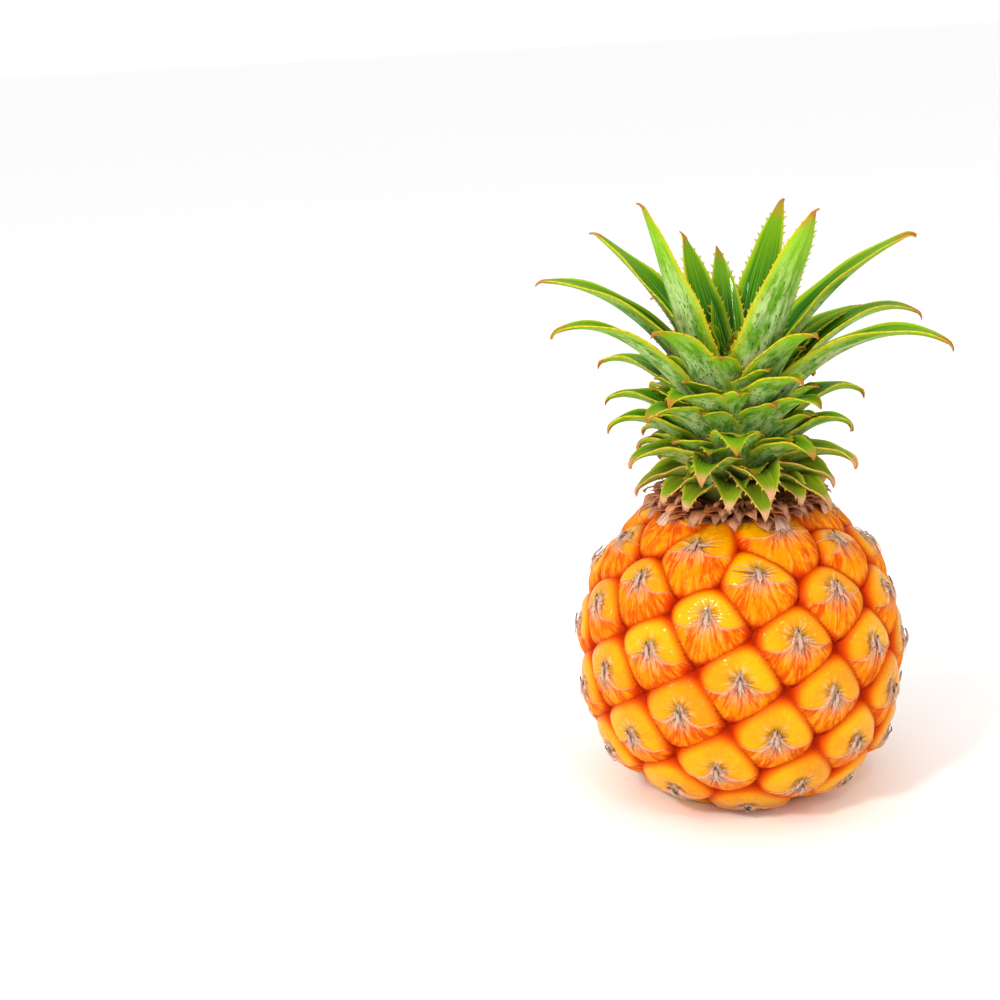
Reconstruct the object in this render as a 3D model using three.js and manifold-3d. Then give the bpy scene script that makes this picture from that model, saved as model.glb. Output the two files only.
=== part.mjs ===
// A small ripe pineapple, standing on its trimmed base, with its leafy crown.
// Millimetres, +Z up. The origin is the middle of the base, and -Y is the side it is seen from.
// Angles are in degrees, counted from +X towards +Y.
import * as THREE from 'three'
import { ConvexHull } from 'three/addons/math/ConvexHull.js'
import { mergeVertices } from 'three/addons/utils/BufferGeometryUtils.js'
import Module from 'manifold-3d'

const wasm = await Module()
wasm.setup()

// Fruit body: half a superellipse below its widest place and half above
const FRUIT_RADIUS = 49.5
const FRUIT_HEIGHT = 89
const WIDEST_HEIGHT = 42.6
const LOWER_ROUNDNESS = 2.46
const UPPER_ROUNDNESS = 2.3
const BASE_RADIUS = 24
const SHOULDER_RADIUS = 21.5
const SIDE_STEPS = 600

// Eyes: one spiral, a golden angle apart, each with about the same skin
const EYE_AREA = 405
const FIRST_EYE = -3
const EYE_START = 3.15
const EYE_CROWDING = 0.11
const SPIRAL_START = 135.7
const SPIRAL_STEP = 137.56

// Relief of one eye: its rounded dome, the lip of its bract and the beak
const CREVICE_DEPTH = 3
const DOME_ROUNDING = 6.5
const RINGS = [{ share: 1, count: 16 }, { share: 0.82, count: 11 }, { share: 0.52, count: 7 }]
const POINT_SPACING = 1.3
const LEAST_INSET = 1
const END_RISE = 2
const RAY_STEP = 0.25
const BEAK_FADE_RADII = [24, 30]
// Across the eye, up the fruit, and out from the skin
const BRACT_POINTS = [
  [0, 4.2, 2.1],
  [-0.9, 2.4, 1.5], [0.9, 2.4, 1.5],
  [-2.4, 0.1, 0.9], [2.4, 0.1, 0.9],
  [-5.6, -1.5, 0.7], [5.6, -1.5, 0.7],
  [-9, -0.8, 0.3], [9, -0.8, 0.3],
  [0, -1, 1.4], [0, -4.6, 0.3],
  [-3.8, -3.6, 0.1], [3.8, -3.6, 0.1],
  [0, 5.9, -0.5],
  [-2.6, 3.4, -0.2], [2.6, 3.4, -0.2],
]

// Cut stalk in its recess under the fruit
const STALK_RADIUS = 9.5
const STALK_LENGTH = 6
const GAP = 0.3
const ROUND_SIDES = 20
const SLIVER = 0.03

// Collar: a short neck with two rows of dry bracts
const NECK_RADIUS = 17
const NECK_TOP_RADIUS = 14.5
const NECK_HEIGHT = 3
const COLLAR_ROWS = [
  { count: 16, root: [14.5, 90.1], tip: [26.5, 89.4], turn: 4 },
  { count: 11, root: [13, 91.4], tip: [22.4, 91.2], turn: 15 },
]
const COLLAR_BRACT = {
  width: 5.4, rootLean: 82, tipLean: 100, teeth: 1, thickness: 1, hook: 0, fold: [10, 5],
}

// Crown core, from its foot up, as radius and height
const CORE_PROFILE = [
  [0, 92.6], [16, 92.6], [16.5, 97], [14.5, 108], [11.5, 120], [8, 132], [3.5, 146], [0, 150],
]
const CORE_SIDES = 12

// Crown leaves: azimuth, reach and height of the tip, height of the root, width, lean of the tip
const SEEN_LEAVES = [
  [235, 24, 92, 94, 12, 140], [330, 31, 90.5, 94, 12, 140], [212, 25, 92.3, 94.5, 12, 140],
  [266, 28, 94, 95, 13, 140], [284, 33, 92, 95, 13, 135], [315, 26, 92.5, 95, 12, 140],
  [190, 30, 92.5, 95, 12, 135],
  [253, 34, 103, 97, 14, 125], [286, 34, 98, 96, 14, 130], [338, 30, 96, 96, 13, 135],
  [170, 30, 104, 98, 13, 125], [207, 34, 104, 98, 14, 125], [312, 33, 108, 99, 15, 115],
  [350, 35, 100, 97, 13, 135], [270, 34, 112, 101, 17, 120],
  [190, 38, 113, 102, 14, 125], [168, 40, 118, 105, 14, 115], [226, 35, 120, 106, 16, 110],
  [318, 32, 122, 107, 15, 100], [2, 34, 110, 101, 13, 130], [240, 35, 125, 109, 17, 105],
  [300, 38, 131, 111, 17, 90], [20, 41, 117, 104, 14, 125],
  [150, 49, 126, 108, 15, 115], [196, 54, 143, 112, 15, 108], [232, 37, 145, 114, 18, 80],
  [310, 36, 143, 114, 18, 78], [342, 63, 137, 112, 16, 120], [35, 51, 140, 113, 15, 95],
  [178, 58, 156, 117, 15, 88], [14, 55, 165, 120, 16, 68], [158, 46, 169, 122, 15, 52],
]
const TOP_LEAVES = [
  [215, 32, 181, 118, 17, 24], [305, 40, 179, 118, 19, 30], [65, 39, 175, 122, 16, 36],
  [125, 27, 168, 126, 13, 22], [95, 24, 162, 128, 12, 20],
]
const HEART_LEAVES = {
  count: 3, first: 30, root: 134, step: 1.5, tip: 155, drop: 3, reach: 9, width: 9, lean: 16,
}
const FAR_SIDE = [197, 343]
const VARIATION = { turn: 8, reach: 3, tip: 2.5, root: 0.8, seed: 7 }
const LEAF = { rootLean: 24, thickness: 1.6, toothSpacing: 9.5, hook: 24, fold: [42, 14] }
const TOOTH_HEIGHT = 0.8
const TOOTH_LEAN = 0.8
const HOOK_STEP = 1.3
const ROOT_PULL = 0.42
const TIP_PULL = 0.3
const THINNING = 0.4
const WIDEST_SHARE = 0.25
const ROOT_WIDTH_SHARE = 0.7
const TAPER = 1.9
const TIP_WIDTH = 1.3
const ROOT_INSET = 4

const radians = THREE.MathUtils.degToRad

// Side of the fruit: radius at a height, and a walk up it with its length and skin area
function sideRadius(z) {
  const lower = z < WIDEST_HEIGHT
  const roundness = lower ? LOWER_ROUNDNESS : UPPER_ROUNDNESS
  const endRadius = lower ? BASE_RADIUS : SHOULDER_RADIUS
  const endRise = lower ? WIDEST_HEIGHT : FRUIT_HEIGHT - WIDEST_HEIGHT
  const reach = endRise / (1 - (endRadius / FRUIT_RADIUS) ** roundness) ** (1 / roundness)
  return FRUIT_RADIUS * (1 - (Math.abs(z - WIDEST_HEIGHT) / reach) ** roundness) ** (1 / roundness)
}

function walkSide() {
  const stations = [{ z: 0, r: BASE_RADIUS, length: 0, area: 0 }]
  for (let i = 1; i <= SIDE_STEPS; i++) {
    const last = stations[i - 1]
    const z = FRUIT_HEIGHT * (0.5 - 0.5 * Math.cos(Math.PI * i / SIDE_STEPS))
    const r = sideRadius(z)
    const step = Math.hypot(z - last.z, r - last.r)
    stations.push({ z, r, length: last.length + step, area: last.area + Math.PI * (r + last.r) * step })
  }
  return stations
}

const side = walkSide()
const sideEnd = side[SIDE_STEPS]

// The walk's station at a given length or area, with its outward slope
function sideAt(key, value) {
  const wanted = THREE.MathUtils.clamp(value, 0, sideEnd[key])
  let i = 1
  while (i < SIDE_STEPS && side[i][key] < wanted) {
    i++
  }
  const [low, high] = [side[i - 1], side[i]]
  const share = (wanted - low[key]) / (high[key] - low[key])
  const mix = (name) => THREE.MathUtils.lerp(low[name], high[name], share)
  const step = high.length - low.length
  const rise = (high.z - low.z) / step
  const spread = (high.r - low.r) / step
  return { z: mix('z'), r: mix('r'), length: mix('length'), rise, spread }
}

// A point on the smooth skin, at an angle in radians and a length up the side, and its way out
function skinPoint(angle, length) {
  const at = sideAt('length', length)
  const out = new THREE.Vector3(at.rise * Math.cos(angle), at.rise * Math.sin(angle), -at.spread)
  return { point: new THREE.Vector3(at.r * Math.cos(angle), at.r * Math.sin(angle), at.z), out, r: at.r }
}

function placeEyes() {
  const eyes = []
  for (let n = FIRST_EYE; (n + EYE_START) * EYE_AREA < sideEnd.area; n++) {
    const even = (n + EYE_START) * EYE_AREA / sideEnd.area
    const share = even + EYE_CROWDING * even * (1 - even)
    const { length, r } = sideAt('area', share * sideEnd.area)
    const angle = radians(SPIRAL_START + n * SPIRAL_STEP)
    eyes.push({ angle, length, r, ...skinPoint(angle, length) })
  }
  return eyes
}

const eyes = placeEyes()

// How far a point lies inside an eye's own border, negative when another eye is nearer
function borderDistance(eye, point) {
  let nearest = Infinity
  for (const other of eyes) {
    if (other !== eye) {
      const gain = other.point.distanceToSquared(point) - eye.point.distanceToSquared(point)
      nearest = Math.min(nearest, gain / (2 * other.point.distanceTo(eye.point)))
    }
  }
  return nearest
}

// A point of an eye by its place across and up, on the smooth skin
function eyePoint(eye, across, up) {
  const { r } = sideAt('length', eye.length + up)
  return skinPoint(eye.angle + across / r, eye.length + up)
}

function rayLength(eye, angle) {
  let reach = RAY_STEP
  const spot = () => eyePoint(eye, reach * Math.cos(angle), reach * Math.sin(angle)).point
  while (reach < 2 * SHOULDER_RADIUS && borderDistance(eye, spot()) > 0) {
    reach += RAY_STEP
  }
  return reach
}

// Height of the dome over the smooth skin
function domeHeight(distance) {
  const share = THREE.MathUtils.clamp(distance / DOME_ROUNDING, 0, 1)
  return -CREVICE_DEPTH * (1 - share) ** 2
}

// The points of one eye that the skin is meshed through: its bract and beak, its border and two rings
function eyeMarks(eye) {
  const mark = (across, up, out) => {
    const skin = eyePoint(eye, across, up)
    const inset = borderDistance(eye, skin.point)
    return { ...skin, up, inset, height: domeHeight(inset) + out }
  }
  const upper = eye.length > sideEnd.length / 2
  const fade = upper ? THREE.MathUtils.smoothstep(eye.r, ...BEAK_FADE_RADII) : 1
  const bract = BRACT_POINTS.map(([across, up, out]) => mark(across, up, out * fade))
  const rings = RINGS.flatMap(({ share, count }) => Array.from({ length: count }, (_, i) => {
    const angle = 2 * Math.PI * i / count
    const reach = share * rayLength(eye, angle)
    return mark(reach * Math.cos(angle), reach * Math.sin(angle), 0)
  }))
  const onSide = ({ up }) => eye.length + up > 0 && eye.length + up < sideEnd.length
  return [...bract.filter(({ inset }) => inset > LEAST_INSET), ...rings].filter(onSide)
}

// Points at both ends of the side, and just past them, so that the ends can be cut flat
function endMarks() {
  const marks = []
  for (const [length, beyond] of [[0, -1], [sideEnd.length, 1]]) {
    for (let i = 0; i < 2 * ROUND_SIDES; i++) {
      const skin = skinPoint(Math.PI * i / ROUND_SIDES, length)
      marks.push({ ...skin, height: 0 })
    }
    const { z } = sideAt('length', length)
    const point = new THREE.Vector3(0, 0, z + END_RISE * beyond)
    marks.push({ point, out: new THREE.Vector3(0, 0, beyond), height: 0 })
  }
  return marks
}

// The skin is meshed while it is smooth and convex, and then raised and sunk
function fruitSkin() {
  const marks = []
  for (const mark of [...eyes.flatMap(eyeMarks), ...endMarks()]) {
    if (marks.every((kept) => kept.point.distanceTo(mark.point) > POINT_SPACING)) {
      marks.push(mark)
    }
  }
  const numbers = new Map(marks.map((mark, i) => [mark.point, i]))
  const raised = ({ point, out, height }) => point.clone().addScaledVector(out, height)
  const positions = marks.flatMap((mark) => raised(mark).toArray())
  const hull = new ConvexHull().setFromPoints(marks.map((mark) => mark.point))
  const faces = []
  for (const face of hull.faces) {
    const corners = []
    let edge = face.edge
    do {
      corners.push(numbers.get(edge.head().point))
      edge = edge.next
    } while (edge !== face.edge)
    for (let i = 2; i < corners.length; i++) {
      faces.push(corners[0], corners[i - 1], corners[i])
    }
  }
  return solidOf(positions, faces)
}

// Closed solids for cutting and joining
function solidOf(positions, faces) {
  const vertProperties = new Float32Array(positions)
  const triVerts = new Uint32Array(faces)
  return new wasm.Manifold(new wasm.Mesh({ numProp: 3, vertProperties, triVerts }))
}

function solidOfGeometry(geometry) {
  geometry.deleteAttribute('normal')
  geometry.deleteAttribute('uv')
  const merged = mergeVertices(geometry)
  return solidOf(merged.attributes.position.array, merged.index.array)
}

function upright(radius, bottom, top) {
  const geometry = new THREE.CylinderGeometry(radius, radius, top - bottom, ROUND_SIDES)
  geometry.rotateX(Math.PI / 2)
  geometry.translate(0, 0, (top + bottom) / 2)
  return geometry
}

// The outer shell of a fused solid, with no scrap and no sealed hollow
function outerShell(solid) {
  const pieces = solid.simplify(SLIVER).decompose().sort((one, other) => other.volume() - one.volume())
  return pieces[0]
}

function meshOf(name, solid, material) {
  const { vertProperties, triVerts } = solid.getMesh()
  const geometry = new THREE.BufferGeometry()
  geometry.setAttribute('position', new THREE.BufferAttribute(Float32Array.from(vertProperties), 3))
  geometry.setIndex(new THREE.BufferAttribute(Uint32Array.from(triVerts), 1))
  geometry.computeVertexNormals()
  const mesh = new THREE.Mesh(geometry, new THREE.MeshStandardMaterial({ metalness: 0, ...material }))
  mesh.name = name
  return mesh
}

function makeFruit() {
  const wide = 2 * FRUIT_RADIUS
  const below = solidOfGeometry(upright(wide, -wide, 0))
  const above = solidOfGeometry(upright(wide, FRUIT_HEIGHT, wide + FRUIT_HEIGHT))
  const recess = solidOfGeometry(upright(STALK_RADIUS + GAP, -1, STALK_LENGTH + GAP))
  const solid = fruitSkin().subtract(below).subtract(above).subtract(recess)
  return meshOf('fruit', outerShell(solid), { color: 0xf09a12, roughness: 0.35 })
}

function makeStalk() {
  const solid = solidOfGeometry(upright(STALK_RADIUS, 0, STALK_LENGTH))
  return meshOf('stalk', solid, { color: 0xb79a5e, roughness: 0.85 })
}

// Width of a blade along its length, as a share of its widest
function widthShare(share) {
  if (share < WIDEST_SHARE) {
    return THREE.MathUtils.lerp(ROOT_WIDTH_SHARE, 1, share / WIDEST_SHARE)
  }
  return 1 - ((share - WIDEST_SHARE) / (1 - WIDEST_SHARE)) ** TAPER
}

// Middle line of a blade, as radius and height, with the two short steps of the hook at its tip
function bladeLine({ root, tip, rootLean, tipLean, teeth, hook }) {
  const way = (lean) => new THREE.Vector2(Math.sin(radians(lean)), Math.cos(radians(lean)))
  const start = new THREE.Vector2(...root)
  const apex = new THREE.Vector2(...tip)
  const bend = apex.clone().addScaledVector(way(tipLean + 2 * hook), -HOOK_STEP)
  const end = bend.clone().addScaledVector(way(tipLean + hook), -HOOK_STEP)
  const span = start.distanceTo(end)
  const curve = new THREE.CubicBezierCurve(
    start,
    start.clone().addScaledVector(way(rootLean), ROOT_PULL * span),
    end.clone().addScaledVector(way(tipLean), -TIP_PULL * span),
    end,
  )
  const stations = []
  for (let tooth = 0; tooth < teeth; tooth++) {
    for (const [share, peak] of [[0, 0], [TOOTH_LEAN, 1]]) {
      const along = (tooth + share) / teeth
      const [at, heading] = [curve.getPointAt(along), curve.getTangentAt(along)]
      stations.push({ at, heading, along, peak })
    }
  }
  stations.push({ at: end, heading: way(tipLean), along: 1, peak: 0 })
  stations.push({ at: bend, heading: way(tipLean + hook), along: 1, peak: 0 })
  return { stations, apex }
}

// A blade folded to a V, with teeth on both edges, thick in the middle and thin at the edges
function blade(leaf) {
  const { azimuth, width, thickness, fold } = leaf
  const { stations, apex } = bladeLine(leaf)
  const angle = radians(azimuth)
  const [c, s] = [Math.cos(angle), Math.sin(angle)]
  const place = (r, across, z) => [r * c - across * s, r * s + across * c, z]
  const positions = []
  const faces = []
  for (const { at, heading, along, peak } of stations) {
    const half = Math.max(width * widthShare(along), TIP_WIDTH) / 2 + peak * TOOTH_HEIGHT
    const bent = radians(THREE.MathUtils.lerp(...fold, along))
    const thick = thickness * (1 - THINNING * along) / 2
    const inward = new THREE.Vector2(-heading.y, heading.x)
    const raised = at.clone().addScaledVector(inward, half * Math.sin(bent))
    const upper = at.clone().addScaledVector(inward, thick)
    const lower = at.clone().addScaledVector(inward, -thick)
    positions.push(...place(raised.x, -half * Math.cos(bent), raised.y), ...place(upper.x, 0, upper.y))
    positions.push(...place(raised.x, half * Math.cos(bent), raised.y), ...place(lower.x, 0, lower.y))
  }
  positions.push(...place(apex.x, 0, apex.y))
  const end = 4 * (stations.length - 1)
  for (let corner = 0; corner < 4; corner++) {
    const next = (corner + 1) % 4
    for (let base = 0; base < end; base += 4) {
      const [a, b, c, d] = [base + corner, base + next, base + 4 + next, base + 4 + corner]
      faces.push(a, c, b, a, d, c)
    }
    faces.push(end + corner, end + 4, end + next)
  }
  faces.push(0, 1, 2, 0, 2, 3)
  return solidOf(positions, faces)
}

function makeCollar() {
  const neck = new THREE.CylinderGeometry(NECK_TOP_RADIUS, NECK_RADIUS, NECK_HEIGHT, ROUND_SIDES)
  neck.rotateX(Math.PI / 2)
  neck.translate(0, 0, FRUIT_HEIGHT + GAP + NECK_HEIGHT / 2)
  const solids = [solidOfGeometry(neck)]
  for (const { count, turn, ...ends } of COLLAR_ROWS) {
    for (let i = 0; i < count; i++) {
      solids.push(blade({ ...COLLAR_BRACT, ...ends, azimuth: turn + 360 * i / count }))
    }
  }
  return meshOf('crown_collar', outerShell(wasm.Manifold.union(solids)), { color: 0xa4532f, roughness: 0.9 })
}

// Repeatable draws between -1 and 1
function seededDraws(seed) {
  let state = seed
  return () => {
    state = (state * 16807) % 2147483647
    return 2 * state / 2147483647 - 1
  }
}

// Leaves of the far side repeat those that face the viewer, turned and varied
function farLeaves() {
  const draw = seededDraws(VARIATION.seed)
  const facing = SEEN_LEAVES.filter(([azimuth]) => azimuth > FAR_SIDE[0] && azimuth < FAR_SIDE[1])
  return facing.map(([azimuth, reach, tip, root, width, lean]) => [
    360 - azimuth + VARIATION.turn * draw(),
    reach + VARIATION.reach * draw(),
    tip + VARIATION.tip * draw(),
    root + VARIATION.root * draw(),
    width,
    lean,
  ])
}

function heartLeaves() {
  const { count, first, root, step, tip, drop, reach, width, lean } = HEART_LEAVES
  const leaf = (i) => [first + i * SPIRAL_STEP, reach - i, tip - drop * i, root + step * i, width, lean]
  return Array.from({ length: count }, (_, i) => leaf(i))
}

function coreRadius(height) {
  const above = CORE_PROFILE.findIndex(([, z]) => z > height)
  const [[lowRadius, low], [highRadius, high]] = [CORE_PROFILE[above - 1], CORE_PROFILE[above]]
  return THREE.MathUtils.mapLinear(height, low, high, lowRadius, highRadius)
}

function makeCrown() {
  const profile = CORE_PROFILE.map(([r, z]) => new THREE.Vector2(r, z))
  const core = new THREE.LatheGeometry(profile, CORE_SIDES)
  core.rotateX(Math.PI / 2)
  const solids = [solidOfGeometry(core)]
  for (const row of [...SEEN_LEAVES, ...farLeaves(), ...TOP_LEAVES, ...heartLeaves()]) {
    const [azimuth, reach, tipHeight, rootHeight, width, tipLean] = row
    const root = [Math.max(coreRadius(rootHeight) - ROOT_INSET, 0.5), rootHeight]
    const tip = [reach, tipHeight]
    const span = Math.hypot(tip[0] - root[0], tip[1] - root[1])
    const teeth = Math.max(3, Math.round(span / LEAF.toothSpacing))
    const rootLean = Math.min(LEAF.rootLean, tipLean)
    solids.push(blade({ ...LEAF, azimuth, root, tip, width, tipLean, rootLean, teeth }))
  }
  return meshOf('crown', outerShell(wasm.Manifold.union(solids)), { color: 0x5f9a34, roughness: 0.5 })
}

const pineapple = new THREE.Group()
pineapple.add(makeFruit(), makeStalk(), makeCollar(), makeCrown())

export default pineapple
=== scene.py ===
"""A small ripe pineapple on a pale floor: finer skin, bracts, crown and cut stalk over the CAD shapes.

Lengths are worked out in millimetres and become metres when a mesh is made. Angles are counted
from +X towards +Y, and -Y is the side that faces the camera.
"""
import math

import bpy
import numpy as np
from mathutils import Matrix, Vector


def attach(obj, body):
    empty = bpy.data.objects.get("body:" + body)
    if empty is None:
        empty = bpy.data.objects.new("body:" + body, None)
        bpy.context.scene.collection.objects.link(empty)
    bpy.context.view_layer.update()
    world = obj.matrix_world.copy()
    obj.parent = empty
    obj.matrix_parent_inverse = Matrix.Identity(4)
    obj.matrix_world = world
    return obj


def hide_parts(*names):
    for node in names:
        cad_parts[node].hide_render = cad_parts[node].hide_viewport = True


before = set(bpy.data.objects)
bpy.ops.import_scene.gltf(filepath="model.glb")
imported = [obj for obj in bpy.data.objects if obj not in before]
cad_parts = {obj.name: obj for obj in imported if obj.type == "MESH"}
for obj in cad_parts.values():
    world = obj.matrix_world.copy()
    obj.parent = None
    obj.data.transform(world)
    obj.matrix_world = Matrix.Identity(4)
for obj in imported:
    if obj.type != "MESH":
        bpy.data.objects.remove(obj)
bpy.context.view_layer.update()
MM = 0.001
SEED = 11

# Fruit body and its eyes, as in the CAD source
FRUIT_RADIUS = 49.5
FRUIT_HEIGHT = 89.0
WIDEST_HEIGHT = 42.6
LOWER_ROUNDNESS = 2.46
UPPER_ROUNDNESS = 2.3
BASE_RADIUS = 24.0
SHOULDER_RADIUS = 21.5
EYE_AREA = 405.0
FIRST_EYE = -3
EYE_START = 3.15
EYE_CROWDING = 0.11
SPIRAL_START = 135.7
SPIRAL_STEP = 137.56
CREVICE_DEPTH = 3.5
DOME_ROUNDING = 7.2
BRACT_ROUNDING = 9.5
CORNER_ROUNDING = 0.48

# Relief of an eye: the hollow of its dome, and the ribs of its bract
DIMPLE_DEPTH = 1.15
DIMPLE_RADIUS = 3.6
PUCKER_HEIGHT = 0.12
FAN_REACH = 4.5
RIDGE_HEIGHT = 0.14
SPINE_HEIGHT = 0.5
BRACT_STEP = 0.15
BRACT_HOLLOW = 0.75
WAVE_HEIGHT = 0.18
HOLLOW_UP = 1.4

# Skin mesh: columns around and rows up the side, and the fading of its relief at both ends
SKIN_COLUMNS = 420
SKIN_ROWS = 226
BASE_FADE = 5
TOP_FADE = 4
END_RELIEF = 0.25
RECESS_RADIUS = 9.8
RECESS_DEPTH = 6.3
LOWEST_POINT = 0.1

# Flat ends of the fruit, as radius and height, from the skin inwards and from the middle outwards
BASE_PROFILE = [
    (BASE_RADIUS - 0.6, 0.6), (BASE_RADIUS - 1.2, 0.05), (21, 0.0), (18, 0.5), (15, 1.0), (12, 1.3),
    (RECESS_RADIUS, 1.6), (RECESS_RADIUS - 0.05, RECESS_DEPTH), (0.3, RECESS_DEPTH),
]
SHOULDER_PROFILE = [
    (0.3, FRUIT_HEIGHT), (14, FRUIT_HEIGHT), (SHOULDER_RADIUS, FRUIT_HEIGHT - 0.05),
    (SHOULDER_RADIUS - 0.4, FRUIT_HEIGHT - 1.6),
]

# Lip of a bract: distance from the middle of its eye, and how far up it runs
LIP_ACROSS = [0.0, 0.5, 1.1, 1.9, 3.0, 4.4, 6.2, 8.2, 10.0, 12.5]
LIP_UP = [3.4, 2.5, 1.1, -0.4, -1.6, -2.4, -2.7, -2.5, -2.0, -1.3]
BEAK_UP = 3.4


def side_radius(z):
    """Radius of the fruit at a height: two rounded curves that meet at its widest place."""
    lower = z < WIDEST_HEIGHT
    roundness = np.where(lower, LOWER_ROUNDNESS, UPPER_ROUNDNESS)
    end_radius = np.where(lower, BASE_RADIUS, SHOULDER_RADIUS)
    end_rise = np.where(lower, WIDEST_HEIGHT, FRUIT_HEIGHT - WIDEST_HEIGHT)
    reach = end_rise / (1 - (end_radius / FRUIT_RADIUS) ** roundness) ** (1 / roundness)
    share = np.abs(z - WIDEST_HEIGHT) / reach
    return FRUIT_RADIUS * (1 - share ** roundness) ** (1 / roundness)


class Side:
    """A walk up the side of the fruit: height, radius, length so far and skin area so far."""

    def __init__(self, steps=1200):
        self.z = FRUIT_HEIGHT * (0.5 - 0.5 * np.cos(np.pi * np.arange(steps + 1) / steps))
        self.r = side_radius(self.z)
        step = np.hypot(np.diff(self.z), np.diff(self.r))
        self.length = np.concatenate([[0], np.cumsum(step)])
        ring = np.pi * (self.r[1:] + self.r[:-1]) * step
        self.area = np.concatenate([[0], np.cumsum(ring)])
        self.rise = np.gradient(self.z, self.length)
        self.spread = np.gradient(self.r, self.length)
        self.end = self.length[-1]

    def at(self, length, name):
        return np.interp(length, self.length, getattr(self, name))


side = Side()


def skin_point(angle, length):
    """Points on the smooth skin and the ways out of it."""
    r = side.at(length, "r")
    z = side.at(length, "z")
    rise = side.at(length, "rise")
    spread = side.at(length, "spread")
    c = np.cos(angle)
    s = np.sin(angle)
    point = np.stack([r * c, r * s, z + 0 * c], -1)
    out = np.stack([rise * c, rise * s, -spread + 0 * c], -1)
    return point, out


class Eyes:
    """The eyes of the fruit on one spiral, each with about the same skin."""

    def __init__(self):
        n = np.arange(FIRST_EYE, 200)
        even = (n + EYE_START) * EYE_AREA / side.area[-1]
        n = n[even < 1]
        even = even[even < 1]
        share = np.clip(even + EYE_CROWDING * even * (1 - even), 0, 1)
        self.length = np.interp(share * side.area[-1], side.area, side.length)
        self.angle = np.radians(SPIRAL_START + n * SPIRAL_STEP)
        self.centre, self.out = skin_point(self.angle, self.length)
        self.radius = side.at(self.length, "r")
        self.count = len(n)
        gaps = self.centre[:, None] - self.centre[None]
        self.between = np.linalg.norm(gaps, axis=-1)
        draws = np.random.default_rng(SEED)
        self.draw = draws.random((self.count, 6))

    def border(self, points, own):
        """How far points lie inside the border of their own eyes, with its corners rounded off."""
        far = ((points[:, None] - self.centre[None]) ** 2).sum(-1)
        mine = far[np.arange(len(points)), own][:, None]
        gain = (far - mine) / (2 * self.between[own] + 1e-9)
        gain[np.arange(len(points)), own] = 1e9
        least = gain.min(1)
        crowd = np.exp(-CORNER_ROUNDING * (gain - least[:, None])).sum(1)
        return least - np.log(crowd) / CORNER_ROUNDING

    def own(self, points):
        """The number of the eye that each point lies in."""
        best = np.zeros(len(points), int)
        for start in range(0, len(points), 20000):
            part = points[start:start + 20000]
            best[start:start + 20000] = ((part[:, None] - self.centre[None]) ** 2).sum(-1).argmin(1)
        return best


eyes = Eyes()


def smooth(low, high, value):
    share = np.clip((value - low) / (high - low), 0, 1)
    return share * share * (3 - 2 * share)


def swell(value, width):
    """A bell-shaped rise round nought."""
    return np.exp(-(value / width) ** 2)


def lip_shift(own):
    """Bracts reach further over their eyes near the crown, and less far near the base."""
    share = eyes.length[own] / side.end
    return 13.0 * np.clip(share - 0.52, 0, 1) ** 1.15 - 4.0 * np.clip(0.45 - share, 0, 1)


def lip_up(across, own):
    """Where the lip of the bract runs, by its place across the eye."""
    skew = 1 + 0.1 * (eyes.draw[own, 0] - 0.5) * np.sign(across)
    wander = 0.7 * (eyes.draw[own, 1] - 0.5)
    return np.interp(np.abs(across) * skew, LIP_ACROSS, LIP_UP) + wander + lip_shift(own)


def beak_fade(own):
    """Beaks are smaller at both ends of the fruit."""
    return 0.55 + 0.45 * smooth(26.0, 38.0, eyes.radius[own])


def pillow(inset, rounding):
    """Height under the top of a plump rounded swelling."""
    share = np.clip((inset + 1.1) / rounding, 0, 1)
    return -CREVICE_DEPTH * (1 - np.sqrt(1 - (1 - share) ** 2))


def relief(points, own, across, up):
    """Height of the skin over the smooth body, and how far inside its eye each point lies."""
    inset = eyes.border(points, own)
    lip = lip_up(across, own)
    middle = lip_shift(own)
    below = smooth(0.4, -0.4, up - lip)
    fade = beak_fade(own)
    inside = smooth(-0.5, 3.0, inset)
    reach = up - middle - HOLLOW_UP
    away = np.hypot(reach, across)
    turn = np.arctan2(reach, across)
    third = eyes.draw[own, 2]
    fourth = eyes.draw[own, 3]
    puckers = np.cos(turn * 11 + 9 * third) + 0.6 * np.cos(turn * 19 + 7 * fourth)
    dimple = PUCKER_HEIGHT * puckers * swell(away - DIMPLE_RADIUS, 2.6)
    dimple = dimple - DIMPLE_DEPTH * swell(away, DIMPLE_RADIUS)
    dome = pillow(inset, DOME_ROUNDING) + inside * dimple
    fan = np.arctan2(across, FAN_REACH + middle - up)
    ridges = np.cos(fan * 17 + 5 * third) + 0.7 * np.cos(fan * 29 + 8 * fourth)
    spine = swell(across, 1.9) * smooth(-8.0, -2.0, up - middle) * smooth(3.0, -1.0, up - middle)
    sunk = BRACT_HOLLOW * swell(away, 2.8)
    ribs = RIDGE_HEIGHT * ridges + SPINE_HEIGHT * spine * fade + BRACT_STEP
    bract = pillow(inset, BRACT_ROUNDING) + inside * (ribs - sunk)
    height = dome * (1 - below) + bract * below
    x, y, z = points.T
    wave = np.sin(x * 0.31 + z * 0.34) * np.sin(y * 0.27 - z * 0.23)
    return height + WAVE_HEIGHT * wave, inset


# Meshes
def make_piece(name, points, faces, material, values=None):
    """A mesh object from points in millimetres, with one number a point for each named value."""
    mesh = bpy.data.meshes.new(name)
    mesh.from_pydata((np.asarray(points) * MM).tolist(), [], [list(face) for face in faces])
    for label, numbers in (values or {}).items():
        attribute = mesh.attributes.new(label, "FLOAT", "POINT")
        attribute.data.foreach_set("value", np.asarray(numbers, np.float32))
    mesh.materials.append(material)
    mesh.polygons.foreach_set("use_smooth", [True] * len(mesh.polygons))
    mesh.update()
    piece = bpy.data.objects.new(name, mesh)
    bpy.context.scene.collection.objects.link(piece)
    return piece


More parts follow.
